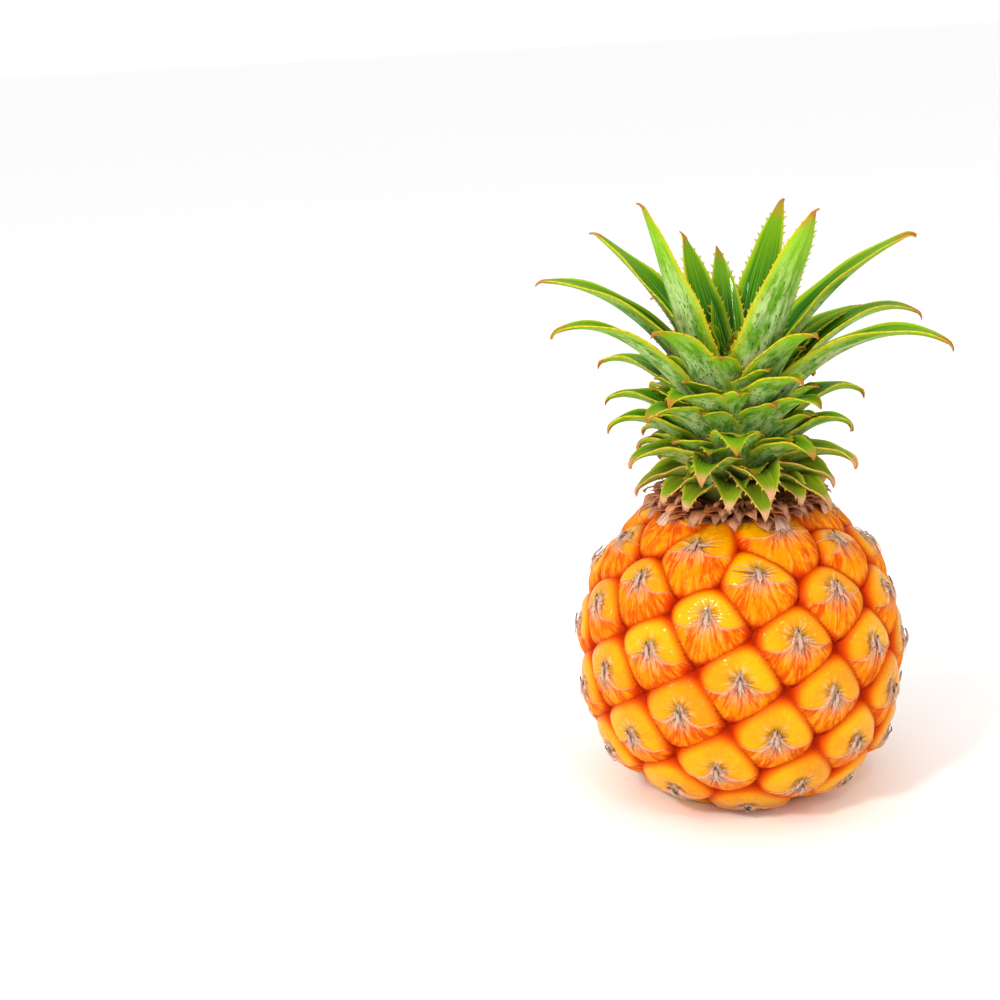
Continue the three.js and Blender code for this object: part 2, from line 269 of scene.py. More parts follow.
def grid_faces(rows, columns, start=0, wrap=False, flip=False):
    """Quads of a grid whose points are stored row by row."""
    i = np.arange(rows - 1)[:, None]
    j = np.arange(columns if wrap else columns - 1)[None]
    k = (j + 1) % columns
    a = start + i * columns + j
    b = start + i * columns + k
    c = start + (i + 1) * columns + k
    d = start + (i + 1) * columns + j
    quads = np.stack(np.broadcast_arrays(a, b, c, d), -1).reshape(-1, 4)
    return quads[:, ::-1] if flip else quads


class Gather:
    """Collects grids into one mesh."""

    def __init__(self):
        self.points = []
        self.faces = []
        self.values = {}
        self.count = 0

    def add(self, points, faces, **values):
        self.points.append(points)
        self.faces.append(np.asarray(faces) + self.count)
        for label, numbers in values.items():
            self.values.setdefault(label, []).append(np.broadcast_to(numbers, len(points)))
        self.count += len(points)

    def piece(self, name, material):
        """One mesh of all that was gathered, with no point sunk into the floor."""
        points = np.concatenate(self.points)
        points[:, 2] = np.maximum(points[:, 2], LOWEST_POINT)
        faces = [face for part in self.faces for face in part]
        values = {label: np.concatenate(parts) for label, parts in self.values.items()}
        return make_piece(name, points, faces, material, values)


def full_turn(steps):
    return 2 * np.pi * np.arange(steps) / steps


def profile_column(profile, which):
    return np.array([row[which] for row in profile])[:, None]


def turned(profile, turns, wave=0.0):
    """Points of a profile of radius and height, turned about the axis of the fruit."""
    radius = np.maximum(profile_column(profile, 0) + wave + 0 * turns, 0)
    height = profile_column(profile, 1) + 0 * turns
    return np.stack([radius * np.cos(turns), radius * np.sin(turns), height], -1).reshape(-1, 3)


# Materials
class Wire:
    """The output of a shader node, usable in arithmetic."""

    def __init__(self, board, socket):
        self.board = board
        self.socket = socket

    def is_value(self):
        return self.socket.type == "VALUE"

    def join(self, kind, first, second):
        flat = all(is_flat(item) for item in (first, second))
        node = "ShaderNodeMath" if flat else "ShaderNodeVectorMath"
        if not flat:
            first = spread(first)
            second = spread(second)
        return self.board.node(node, {"operation": kind}, {0: first, 1: second})

    def __add__(self, other):
        return self.join("ADD", self, other)

    def __radd__(self, other):
        return self.join("ADD", other, self)

    def __sub__(self, other):
        return self.join("SUBTRACT", self, other)

    def __rsub__(self, other):
        return self.join("SUBTRACT", other, self)

    def __mul__(self, other):
        return self.join("MULTIPLY", self, other)


def is_flat(item):
    return item.is_value() if isinstance(item, Wire) else isinstance(item, (int, float))


def spread(item):
    return (item, item, item) if isinstance(item, (int, float)) else item


class Board:
    """A material with one Principled shader and the nodes that feed it."""

    def __init__(self, name):
        self.material = bpy.data.materials.new(name)
        self.material.use_nodes = True
        self.tree = self.material.node_tree
        self.tree.nodes.clear()
        self.shader = self.tree.nodes.new("ShaderNodeBsdfPrincipled")
        end = self.tree.nodes.new("ShaderNodeOutputMaterial")
        self.tree.links.new(self.shader.outputs[0], end.inputs[0])

    def node(self, kind, settings=None, inputs=None, output=0):
        made = self.tree.nodes.new(kind)
        for name, value in (settings or {}).items():
            setattr(made, name, value)
        for name, value in (inputs or {}).items():
            self.feed(made.inputs[name], value)
        return Wire(self, made.outputs[output])

    def feed(self, socket, value):
        if isinstance(value, Wire):
            self.tree.links.new(value.socket, socket)
        elif socket.type == "RGBA":
            socket.default_value = (*value[:3], 1.0)
        else:
            socket.default_value = value

    def attribute(self, name):
        return self.node("ShaderNodeAttribute", {"attribute_name": name}, output=2)

    def attributes(self, names):
        return [self.attribute(name) for name in names.split()]

    def place(self):
        """Position in the frame, in millimetres."""
        spot = self.node("ShaderNodeTexCoord", output="Object")
        return spot * (1 / MM)

    def combine(self, x, y, z):
        return self.node("ShaderNodeCombineXYZ", inputs={0: x, 1: y, 2: z})

    def noise(self, vector, scale, detail=3.0, roughness=0.55):
        inputs = {"Vector": vector, "Scale": scale, "Detail": detail, "Roughness": roughness}
        return self.node("ShaderNodeTexNoise", inputs=inputs)

    def curve(self, kind, *items):
        return self.node("ShaderNodeMath", {"operation": kind}, dict(enumerate(items)))

    def smooth(self, low, high, value):
        inputs = {"Value": value, "From Min": low, "From Max": high}
        return self.node("ShaderNodeMapRange", {"interpolation_type": "SMOOTHSTEP"}, inputs)

    def mix(self, low, high, share):
        if all(is_flat(item) for item in (low, high)):
            return self.node("ShaderNodeMix", {"data_type": "FLOAT"}, {0: share, 2: low, 3: high})
        return self.node("ShaderNodeMix", {"data_type": "RGBA"}, {0: share, 6: low, 7: high}, 2)

    def bump(self, height, distance, strength):
        inputs = {"Height": height, "Distance": distance, "Strength": strength}
        return self.node("ShaderNodeBump", inputs=inputs)

    def finish(self, **inputs):
        for name, value in inputs.items():
            self.feed(self.shader.inputs[name.replace("_", " ").title()], value)
        return self.material


# Colours of the skin
GOLD = (0.78, 0.32, 0.0)
BRIGHT_GOLD = (0.84, 0.43, 0.0)
BROWN_GOLD = (0.6, 0.25, 0.0)
YELLOW_FLECK = (0.92, 0.58, 0.03)
RED_ORANGE = (0.68, 0.09, 0.0)
ORANGE = (0.86, 0.3, 0.002)
EDGE_ORANGE = (0.78, 0.15, 0.0)
PALE_THREAD = (0.9, 0.46, 0.06)
PINK_STREAK = (0.86, 0.52, 0.36)
BROWN_STREAK = (0.62, 0.3, 0.22)
GREY_FIBRE = (0.42, 0.37, 0.3)
DARK_FIBRE = (0.2, 0.15, 0.12)
LIP_RIM = (0.9, 0.48, 0.22)
HOLLOW_BROWN = (0.26, 0.12, 0.01)
PUCKER_CREST = (0.9, 0.62, 0.3)
# Crevice colours: the first is the crevices' own red partly darkened with painted shade, the second is
# painted shade at their bottom
CREVICE_RED_AND_SHADE = (0.56, 0.03, 0.0)
CREVICE_SHADE = (0.22, 0.008, 0.0)
SPECK_BROWN = (0.3, 0.11, 0.01)
DRY_LIP = (0.9, 0.63, 0.5)
DRY_LIP_BROWN = (0.62, 0.34, 0.24)
DRY_GREY = (0.6, 0.56, 0.5)
DRY_DARK = (0.3, 0.14, 0.09)
BEAK_GREY = (0.5, 0.44, 0.36)
BEAK_TIP = (0.09, 0.04, 0.02)
SOFT_GLEAM = 0.06
LEAF_GLEAM = 0.12


def dome_colour(board, inset, draw, fine):
    """Golden skin of the dome, redder towards its crevice."""
    broad = board.noise(board.place(), 0.055, 2.0)
    golden = board.mix(GOLD, BRIGHT_GOLD, board.smooth(0.35, 0.65, broad))
    golden = board.mix(golden, BROWN_GOLD, board.smooth(0.45, 1.0, draw) * 0.4)
    golden = board.mix(golden, YELLOW_FLECK, board.smooth(0.52, 0.78, fine) * 0.5)
    return board.mix(golden, EDGE_ORANGE, board.smooth(2.1, -0.4, inset) * 0.8)


def skin_colours(board, dry):
    """Colours of an eye, from the places across and up that its points carry."""
    across, up, inset, draw, lip, middle = board.attributes("across up inset draw lip middle")
    place = board.place()
    fine = board.noise(place, 0.9, 4.0)
    grain = board.noise(place, 2.6, 3.0)
    golden = dome_colour(board, inset, draw, fine)
    below = board.smooth(0.35, -0.15, up - lip)
    # Streaks fan down from the beak
    reach = middle - up + FAN_REACH
    turn = board.curve("ARCTAN2", across, reach)
    away = board.curve("SQRT", across * across + reach * reach)
    fan = board.noise(board.combine(turn * 5.0, away * 0.12, draw * 40.0), 1.0, 4.0, 0.65)
    threads = board.noise(board.combine(turn * 16.0, away * 0.22, draw * 17.0), 1.0, 4.0, 0.65)
    inside = board.smooth(-0.6, 2.4, inset)
    orange = board.mix(RED_ORANGE, ORANGE, board.smooth(0.38, 0.62, fan))
    orange = board.mix(orange, PALE_THREAD, board.smooth(0.5, 0.64, threads) * 0.6)
    colour = board.mix(golden, orange, below * 0.9)
    near = board.smooth(12.5, 5.0, away)
    streaks = board.smooth(0.42, 0.54, fan * 0.3 + threads * 0.7) * below * near
    pale = board.mix(PINK_STREAK, BROWN_STREAK, board.smooth(0.35, 0.7, grain))
    colour = board.mix(colour, pale, streaks * inside * 0.9)
    beside = board.curve("ABSOLUTE", across)
    centre = board.smooth(2.4, 0.6, beside) * board.smooth(9.0, 5.0, away) * below
    grey = board.mix(GREY_FIBRE, DARK_FIBRE, board.smooth(0.5, 0.62, threads))
    colour = board.mix(colour, grey, centre * 0.6 * inside)
    rim = board.smooth(-1.0, 0.0, up - lip) * below
    colour = board.mix(colour, LIP_RIM, rim * inside * (0.45 + 0.25 * dry))
    # Puckered lines round the beak, paler on their crests, and the dark hollow in the middle
    over = up - middle - HOLLOW_UP
    ray = board.curve("ARCTAN2", across, over)
    apart = board.curve("SQRT", across * across + over * over)
    pucker = board.noise(board.combine(ray * 5.0, apart * 0.12, draw * 31.0), 1.0, 3.0, 0.6)
    above = (1.0 - below) * inside
    crest = board.smooth(0.47, 0.62, pucker) * above * board.smooth(5.8, 2.4, apart)
    hollow = board.smooth(4.2, 1.2, apart) * above
    colour = board.mix(colour, HOLLOW_BROWN, hollow * 0.55)
    colour = board.mix(colour, PUCKER_CREST, crest * 0.6)
    # Saturated red crevices: their own red deepened with painted shade, darkest where painted shade fills
    # their bottom. Then brown specks
    colour = board.mix(colour, CREVICE_RED_AND_SHADE, board.smooth(1.0, -1.2, inset) * 0.9)
    colour = board.mix(colour, CREVICE_SHADE, board.smooth(-0.4, -2.2, inset) * 0.65)
    colour = board.mix(colour, SPECK_BROWN, board.smooth(0.67, 0.76, grain) * 0.45)
    rough = board.mix(0.24, 0.5, below) + (streaks * 0.2)
    height = pucker * above * 0.5 + (fan + threads) * below * 0.5 + fine * 0.3 + grain * 0.12
    return colour, rough, height, above


def skin_material():
    board = Board("golden_skin")
    colour, rough, height, above = skin_colours(board, 0.0)
    normal = board.bump(height, 0.0009, 0.8)
    board.shader.inputs["Specular IOR Level"].default_value = SOFT_GLEAM
    board.shader.inputs["Coat Roughness"].default_value = 0.12
    return board.finish(base_color=colour, roughness=rough, normal=normal, coat_weight=above * 0.45)


def bract_material():
    board = Board("bract_skin")
    colour, rough, height, _ = skin_colours(board, 1.0)
    across, up, edge, beak, tone = board.attributes("across up edge beak tone")
    fibres = board.noise(board.combine(across * 3.2, up * 0.4, edge), 1.0, 4.0)
    dry = board.mix(DRY_LIP, DRY_LIP_BROWN, board.smooth(0.45, 0.7, fibres))
    dry = board.mix(dry, DRY_GREY, board.smooth(0.55, 0.7, tone))
    dry = board.mix(dry, DRY_DARK, board.smooth(0.82, 0.9, tone))
    colour = board.mix(colour, dry, edge * 0.85)
    colour = board.mix(colour, BEAK_GREY, board.smooth(0.3, 0.65, beak) * 0.7)
    colour = board.mix(colour, BEAK_TIP, board.smooth(0.7, 0.95, beak))
    normal = board.bump(height + fibres * 0.8, 0.0007, 0.8)
    board.shader.inputs["Specular IOR Level"].default_value = SOFT_GLEAM
    return board.finish(base_color=colour, roughness=rough + 0.15, normal=normal)


def base_material():
    board = Board("trimmed_base")
    place = board.place()
    fine = board.noise(place, 0.7, 5.0, 0.65)
    broad = board.noise(place, 0.12, 2.0)
    brown = (0.36, 0.2, 0.09)
    straw = (0.72, 0.52, 0.26)
    colour = board.mix((0.55, 0.25, 0.05), brown, board.smooth(0.35, 0.6, broad))
    colour = board.mix(colour, straw, board.smooth(0.55, 0.7, fine))
    normal = board.bump(fine, 0.0012, 0.9)
    return board.finish(base_color=colour, roughness=0.6 + fine * 0.3, normal=normal)


# Colours of the leaves and of the collar
OUTER_GREEN = (0.13, 0.31, 0.025)
SILVER_GREEN = (0.47, 0.62, 0.25)
GREY_DOWN = (0.6, 0.6, 0.4)
PINK_STAIN = (0.56, 0.4, 0.24)
FRESH_GREEN = (0.3, 0.56, 0.01)
DARK_DASH = (0.03, 0.09, 0.02)
ROOT_SHADE = (0.02, 0.1, 0.01)
INNER_DEEP = (0.012, 0.11, 0.001)
INNER_GREEN = (0.09, 0.31, 0.003)
INNER_TIP = (0.33, 0.55, 0.01)
PALE_LINE = (0.5, 0.66, 0.04)
LOW_OLIVE = (0.42, 0.36, 0.04)
SIDE_GREEN = (0.42, 0.58, 0.015)
MARGIN_YELLOW = (0.72, 0.6, 0.03)
MARGIN_PINK = (0.86, 0.44, 0.2)
TOOTH_AMBER = (0.85, 0.48, 0.04)
TIP_BROWN = (0.6, 0.24, 0.05)
TIP_PINK = (0.88, 0.5, 0.34)
BRACT_BROWN = (0.34, 0.07, 0.015)
BRACT_TAN = (0.74, 0.32, 0.16)
BRACT_ORANGE = (0.86, 0.28, 0.02)
BRACT_PINK = (0.88, 0.56, 0.4)
BRACT_MOSS = (0.2, 0.2, 0.05)
BRACT_ROOT = (0.1, 0.03, 0.015)
BEAK_PINK = (0.94, 0.7, 0.58)
BEAK_BROWN = (0.66, 0.36, 0.24)


def outside_of_leaf(board, along, bloom, blotch, dashes):
    """Silvery speckled back of a leaf, greener towards its tip."""
    stain = board.noise(board.place(), 0.3, 3.0)
    down = board.smooth(0.52, 0.66, blotch) * board.smooth(0.7, 0.1, along)
    stained = board.smooth(0.52, 0.66, stain) * board.smooth(0.85, 0.3, along)
    dashed = board.smooth(0.58, 0.66, dashes) * board.smooth(0.95, 0.4, along)
    outer = board.mix(OUTER_GREEN, SILVER_GREEN, board.smooth(0.4, 0.6, bloom))
    outer = board.mix(outer, GREY_DOWN, down * 0.7)
    outer = board.mix(outer, PINK_STAIN, stained * 0.55)
    outer = board.mix(outer, FRESH_GREEN, board.smooth(0.5, 0.9, along) * 0.85)
    outer = board.mix(outer, DARK_DASH, dashed * 0.8)
    return board.mix(outer, ROOT_SHADE, board.smooth(0.16, 0.0, along) * 0.6)


def leaf_material():
    board = Board("green_leaf")
    along, across, inner, draw, low, tooth = board.attributes("along across inner draw low tooth")
    off = board.curve("ABSOLUTE", across)
    lines = board.noise(board.combine(across * 14.0, along * 1.3, draw * 50.0), 1.0, 4.0, 0.6)
    dashes = board.noise(board.combine(across * 15.0, along * 42.0, draw * 31.0), 1.0, 2.0, 0.5)
    blotch = board.noise(board.place(), 0.16, 3.0)
    bloom = board.noise(board.combine(across * 3.0, along * 6.0, draw * 23.0), 1.0, 4.0, 0.65)
    outer = outside_of_leaf(board, along, bloom, blotch, dashes)
    deep = board.mix(INNER_DEEP, INNER_GREEN, board.smooth(0.35, 0.65, lines))
    deep = board.mix(deep, INNER_TIP, board.smooth(0.4, 1.0, along) * 0.65)
    colour = board.mix(outer, deep, inner)
    colour = board.mix(colour, PALE_LINE, board.smooth(0.55, 0.7, lines) * 0.35)
    colour = board.mix(colour, LOW_OLIVE, low * 0.5)
    colour = board.mix(colour, SIDE_GREEN, board.smooth(0.7, 0.92, off) * 0.65)
    margin = board.smooth(0.93, 1.0, off)
    colour = board.mix(colour, board.mix(MARGIN_YELLOW, MARGIN_PINK, low), margin * 0.8)
    colour = board.mix(colour, TOOTH_AMBER, tooth * 0.85)
    dry = board.smooth(0.86, 0.99, along + (blotch - 0.5) * 0.2 + low * 0.08)
    colour = board.mix(colour, board.mix(TIP_BROWN, TIP_PINK, low), dry * 0.9)
    rough = board.mix(board.mix(0.5, 0.26, inner), 0.7, dry)
    height = lines * 0.7 + dashes * 0.35 + bloom * 0.15
    normal = board.bump(height, 0.0006, 0.6)
    board.shader.inputs["Specular IOR Level"].default_value = LEAF_GLEAM
    return board.finish(base_color=colour, roughness=rough, normal=normal, coat_weight=inner * 0.15)


def dry_material():
    board = Board("dry_bract")
    along, across, draw, low = board.attributes("along across draw low")
    lines = board.noise(board.combine(across * 9.0, along * 1.6, draw * 50.0), 1.0, 4.0, 0.65)
    spot = board.noise(board.place(), 0.9, 4.0)
    colour = board.mix(BRACT_BROWN, BRACT_TAN, board.smooth(0.35, 0.65, lines))
    colour = board.mix(colour, BRACT_ORANGE, board.smooth(0.45, 0.7, draw) * 0.5)
    colour = board.mix(colour, BRACT_PINK, board.smooth(0.55, 1.0, along) * 0.6)
    colour = board.mix(colour, BRACT_MOSS, board.smooth(0.55, 0.7, spot) * 0.35)
    colour = board.mix(colour, BRACT_ROOT, board.smooth(0.4, 0.05, along) * 0.7)
    pale = board.mix(BEAK_BROWN, BEAK_PINK, board.smooth(0.4, 0.6, lines))
    colour = board.mix(colour, pale, low * 0.9)
    normal = board.bump(lines + spot * 0.4, 0.0006, 0.9)
    return board.finish(base_color=colour, roughness=0.6 + lines * 0.25, normal=normal)


def stalk_material():
    board = Board("cut_stalk")
    place = board.place()
    fibres = board.noise(place, 1.6, 4.0, 0.65)
    rings = board.noise(place, 0.25, 2.0)
    cream = (0.74, 0.6, 0.35)
    brown = (0.34, 0.2, 0.09)
    colour = board.mix((0.42, 0.27, 0.11), cream, board.smooth(0.35, 0.65, fibres))
    colour = board.mix(colour, brown, board.smooth(0.5, 0.7, rings) * 0.5)
    normal = board.bump(fibres, 0.001, 0.9)
    return board.finish(base_color=colour, roughness=0.7 + fibres * 0.2, normal=normal)


def floor_material():
    board = Board("pale_floor")
    soft = board.noise(board.place(), 0.01, 2.0)
    colour = board.mix((0.97, 0.97, 0.97), (0.98, 0.98, 0.98), soft)
    return board.finish(base_color=colour, roughness=0.9)


def wrapped(angle):
    return (angle + np.pi) % (2 * np.pi) - np.pi


def local_places(angle, length, own):
    """Places across and up their own eye."""
    across = wrapped(angle - eyes.angle[own]) * side.at(length, "r")
    return across, length - eyes.length[own]


def make_skin(material):
    """The whole skin as one mesh, with the relief of its eyes."""
    length = np.linspace(0, side.end, SKIN_ROWS + 1)
    angle = full_turn(SKIN_COLUMNS)
    rows, columns = np.meshgrid(length, angle, indexing="ij")
    length = rows.ravel()
    angle = columns.ravel()
    smooth_points, out = skin_point(angle, length)
    own = eyes.own(smooth_points)
    across, up = local_places(angle, length, own)
    height, inset = relief(smooth_points, own, across, up)
    ends = smooth(0, BASE_FADE, length) * smooth(0, TOP_FADE, side.end - length)
    height = height * (END_RELIEF + (1 - END_RELIEF) * ends)
    points = smooth_points + out * height[:, None]
    points[:, 2] = np.clip(points[:, 2], 0, FRUIT_HEIGHT)
    values = {"across": across, "up": up, "inset": inset, "draw": eyes.draw[own, 4]}
    values.update({"lip": lip_up(across, own), "middle": lip_shift(own)})
    faces = grid_faces(SKIN_ROWS + 1, SKIN_COLUMNS, wrap=True)
    return make_piece("fruit_skin", points, faces, material, values)


def make_ends(material):
    """The trimmed base with the recess for the stalk, and the shoulder under the crown."""
    draws = np.random.default_rng(SEED + 1)
    turns = full_turn(SKIN_COLUMNS // 3)
    made = []
    for name, profile in (("fruit_base", BASE_PROFILE), ("fruit_shoulder", SHOULDER_PROFILE)):
        wave = 0.25 * np.sin(turns * 11 + draws.random() * 6) * np.sin(turns * 5)
        outside = profile_column(profile, 0) > RECESS_RADIUS
        points = turned(profile, turns, wave * outside)
        faces = grid_faces(len(profile), len(turns), wrap=True, flip=True)
        made.append(make_piece(name, points, faces, material))
    return made


def half_width(own, way):
    """How far the eye reaches to one side."""
    tries = np.arange(2, 15, 0.25) * way
    angle = eyes.angle[own] + tries / eyes.radius[own]
    points, _ = skin_point(angle, np.full(len(tries), eyes.length[own] - 0.4))
    kept = tries[eyes.border(points, np.full(len(tries), own)) > -0.4]
    return np.abs(kept).max() if len(kept) else 2.0


def eye_places(own, across, up):
    """Points of one eye on the smooth skin, the ways out there, and the relief."""
    length = np.clip(eyes.length[own] + up, 0, side.end)
    angle = eyes.angle[own] + across / np.maximum(side.at(length, "r"), 5)
    points, out = skin_point(angle, length)
    height, inset = relief(points, np.full(len(points), own), across, up)
    return points, out, height, inset


# Bracts: the mesh of one, and the parts of the fruit's side that have none
BRACT_COLUMNS = 49
BRACT_ROWS = 14
BARE_BASE = 4
BARE_TOP = 3
BRACT_REACH = 6.5
LIP_STAND = 0.4
LIP_RAGGEDNESS = 0.14
BEAK_STATIONS = 9
BEAK_SIDES = 6
BEAK_LENGTH = 5.0
BEAK_HALF_WIDTH = 0.85
BEAK_HALF_THICKNESS = 0.4
FIBRES = 28
HIGH_FIBRES = 26
HIGH_SHARE = 0.76


def make_bracts(material):
    """The bract of each eye: a thin curled shell with a lip, its beak and torn fibres."""
    gather = Gather()
    draws = np.random.default_rng(SEED + 2)
    spot = np.linspace(-1, 1, BRACT_COLUMNS)
    spot = np.sign(spot) * np.abs(spot) ** 1.5
    gap = 1 - np.abs(spot) ** 2.5
    v = np.linspace(0, 1, BRACT_ROWS) ** 1.3
    for own in range(eyes.count):
        number = np.array([own])
        fade = float(beak_fade(number)[0])
        middle = float(lip_shift(number)[0])
        if eyes.length[own] < BARE_BASE or eyes.length[own] > side.end - BARE_TOP:
            continue
        width = np.where(spot < 0, half_width(own, -1), half_width(own, 1))
        across = spot * width
        lip = lip_up(across, np.full(BRACT_COLUMNS, own))
        foot = middle - BRACT_REACH * gap - 1.0
        up = lip[None] + v[:, None] * np.minimum(foot - lip, -0.5)[None]
        ragged = LIP_RAGGEDNESS * draws.standard_normal(BRACT_COLUMNS) * gap
        up[0] += ragged
        up[1] += ragged * 0.5
        flat_across = np.broadcast_to(across, up.shape).ravel()
        flat_up = up.ravel()
        points, out, height, inset = eye_places(own, flat_across, flat_up)
        stand = (LIP_STAND + 0.12 * swell(across, 1.7)) * gap ** 0.5
        curl = stand[None] * (1 - v[:, None]) ** 3.2 + 0.06 - 0.4 * v[:, None] ** 1.5
        curl = curl + 0.06 * np.sin(across * 2.6 + own)[None] * (1 - v[:, None]) * gap
        outer = points + out * (height + curl.ravel())[:, None]
        values = {"across": flat_across, "up": flat_up - 0.35, "inset": inset, "draw": eyes.draw[own, 4]}
        values.update({"lip": np.broadcast_to(lip, up.shape).ravel(), "middle": middle, "tone": 0.2})
        edge = (np.exp(-v * 12)[:, None] * (0.25 + 0.75 * swell(across, 4.5))).ravel()
        beak = np.clip(1 - (BEAK_UP + middle - flat_up) / 4.5, 0, 1) * swell(flat_across, 1.2) * 0.7
        faces = grid_faces(BRACT_ROWS, BRACT_COLUMNS, flip=True)
        gather.add(outer, faces, edge=edge, beak=beak, **values)
        # The lip's own thickness, turned back into the dome
        points, out, height, inset = eye_places(own, across, up[0] + 0.22)
        over = points + out * (height + curl[0] * 0.7 - 0.1)[:, None]
        under = points + out * (height - 0.5)[:, None]
        rim = np.concatenate([outer[:BRACT_COLUMNS], over, under])
        values = {"across": np.tile(across, 3), "up": np.tile(lip - 0.3, 3), "inset": np.tile(inset, 3)}
        values.update({"draw": eyes.draw[own, 4], "lip": np.tile(lip, 3), "middle": middle, "tone": 0.2})
        front = edge[:BRACT_COLUMNS]
        edge = np.concatenate([front, front * 0.5, front * 0.1])
        beak = np.tile(beak[:BRACT_COLUMNS], 3)
        gather.add(rim, grid_faces(3, BRACT_COLUMNS), edge=edge, beak=beak, **values)
        add_beak(gather, own, fade, middle, draws)
        add_fibres(gather, own, fade, middle, draws)
    return gather.piece("fruit_bracts", material)


def sideways_of(own):
    return np.array([-math.sin(eyes.angle[own]), math.cos(eyes.angle[own]), 0.0])


def add_beak(gather, own, fade, middle, draws):
    """The pointed beak that stands over the middle of the dome."""
    stations = np.linspace(0, 1, BEAK_STATIONS)
    turns = full_turn(BEAK_SIDES)
    lean = 0.6 * draws.standard_normal()
    up = middle - 2.0 + (BEAK_LENGTH + 1.6 * (draws.random() - 0.5)) * stations
    across = lean * stations ** 2
    points, out, height, _ = eye_places(own, across, up)
    rise = (0.2 + 1.35 * np.sin(stations * 1.8)) * (0.55 + 0.45 * fade)
    centre = points + out * (height + rise)[:, None]
    half = BEAK_HALF_WIDTH * (1 - stations) ** 0.8 + 0.08
    thick = BEAK_HALF_THICKNESS * (1 - stations) ** 0.6 + 0.09
    ring = np.cos(turns)[None, :, None] * half[:, None, None] * sideways_of(own)
    ring = ring + np.sin(turns)[None, :, None] * thick[:, None, None] * out[:, None, :]
    body = (centre[:, None, :] + ring).reshape(-1, 3)
    place = (np.cos(turns)[None] * half[:, None] + across[:, None]).ravel()
    values = {"across": place, "up": np.repeat(np.minimum(up, middle), BEAK_SIDES), "inset": 6.0}
    values.update({"draw": eyes.draw[own, 4], "lip": middle + BEAK_UP, "middle": middle, "tone": 0.55})
    beak = np.repeat(0.15 + 0.85 * stations, BEAK_SIDES)
    edge = np.repeat(0.4 + 0.5 * stations, BEAK_SIDES)
    faces = grid_faces(BEAK_STATIONS, BEAK_SIDES, wrap=True)
    gather.add(body, faces, edge=edge, beak=beak, **values)


def add_fibres(gather, own, fade, middle, draws):
    """Thin dry fibres: most fan down from the beak, some stand round its foot."""
    high = eyes.length[own] > HIGH_SHARE * side.end
    for number in range(HIGH_FIBRES if high else int(FIBRES * fade)):
        downward = number % 3 > 0
        turn = draws.uniform(-1.2, 1.2) if downward else draws.uniform(1.3, 2.9) * draws.choice([-1, 1])
        start = draws.uniform(0.2, 1.6)
        reach = draws.uniform(1.5, 5.5) if downward else draws.uniform(0.8, 6.5 if high else 2.4)
        steps = np.linspace(0, 1, 5)
        away = start + reach * steps
        across = np.sin(turn) * away * 1.3 + 0.15 * np.sin(steps * 5 + turn * 9)
        up = middle + 0.5 - np.cos(turn) * away
        points, out, height, _ = eye_places(own, across, up)
        aside = sideways_of(own) * math.cos(turn) - np.cross(out, sideways_of(own)) * math.sin(turn)
        wide = draws.uniform(0.12, 0.32) * (1 - 0.75 * steps)[:, None]
        lift = 0.25 + 0.5 * draws.random() * np.sin(steps * np.pi) + 0.35 * draws.random() * steps
        centre = points + out * (height + lift)[:, None]
        rows = np.stack([centre - aside * wide, centre + out * wide, centre + aside * wide], 1)
        values = {"across": np.repeat(across, 3), "up": np.repeat(up, 3), "inset": 6.0}
        values.update({"tone": draws.random(), "draw": eyes.draw[own, 4]})
        values.update({"lip": middle + BEAK_UP, "middle": middle})
        gather.add(rows.reshape(-1, 3), grid_faces(5, 3, flip=True), edge=0.95, beak=0.1, **values)


# The crown: profiles as radius and height; leaves as azimuth, reach, height of the tip, height of
# the root, width and lean of the tip
CORE_PROFILE = [
    (0, 92.6), (16, 92.6), (16.5, 97), (14.5, 108), (11.5, 120), (8, 132), (3.5, 146), (0, 150),
]
STEM_COLUMNS = 36
STEM_PROFILE = [(0, 92.6), (13, 92.6), (14.5, 97), (12.5, 108), (9.5, 118), (5, 124), (0, 126)]
SEEN_LEAVES = [
    (235, 24, 92, 94, 12, 140), (330, 31, 90.5, 94, 12, 140), (212, 25, 92.3, 94.5, 12, 140),
    (266, 28, 94, 95, 13, 140), (284, 33, 92, 95, 13, 135), (315, 26, 92.5, 95, 12, 140),
    (190, 30, 92.5, 95, 12, 135),
    (253, 34, 103, 97, 14, 125), (286, 34, 98, 96, 14, 130), (338, 30, 96, 96, 13, 135),
    (170, 30, 104, 98, 13, 125), (207, 34, 104, 98, 14, 125), (312, 33, 108, 99, 15, 115),
    (350, 35, 100, 97, 13, 135), (270, 34, 112, 101, 17, 120),
    (190, 38, 113, 102, 14, 125), (168, 40, 118, 105, 14, 115), (226, 35, 120, 106, 16, 110),
    (318, 32, 122, 107, 15, 100), (2, 34, 110, 101, 13, 130), (240, 35, 125, 109, 17, 105),
    (300, 38, 131, 111, 17, 90), (20, 41, 117, 104, 14, 125),
    (150, 49, 126, 108, 15, 115), (196, 54, 143, 112, 15, 108), (232, 37, 145, 114, 18, 80),
    (310, 36, 143, 114, 18, 78), (342, 63, 137, 112, 16, 120), (35, 51, 140, 113, 15, 95),
    (178, 58, 156, 117, 15, 88), (14, 55, 165, 120, 16, 68), (158, 46, 169, 122, 15, 52),
]
TOP_LEAVES = [
    (215, 32, 181, 118, 17, 24), (305, 40, 179, 118, 19, 30), (65, 39, 175, 122, 16, 36),
    (125, 27, 168, 124, 13, 22), (101, 25, 163, 124, 12, 20),
]
# Leaves between these azimuths are seen in the photograph, and stand again, varied, on the far side
FAR_SIDE = (197, 343)
VARIATION = {"turn": 8, "reach": 3, "tip": 2.5, "root": 0.8, "seed": 7}

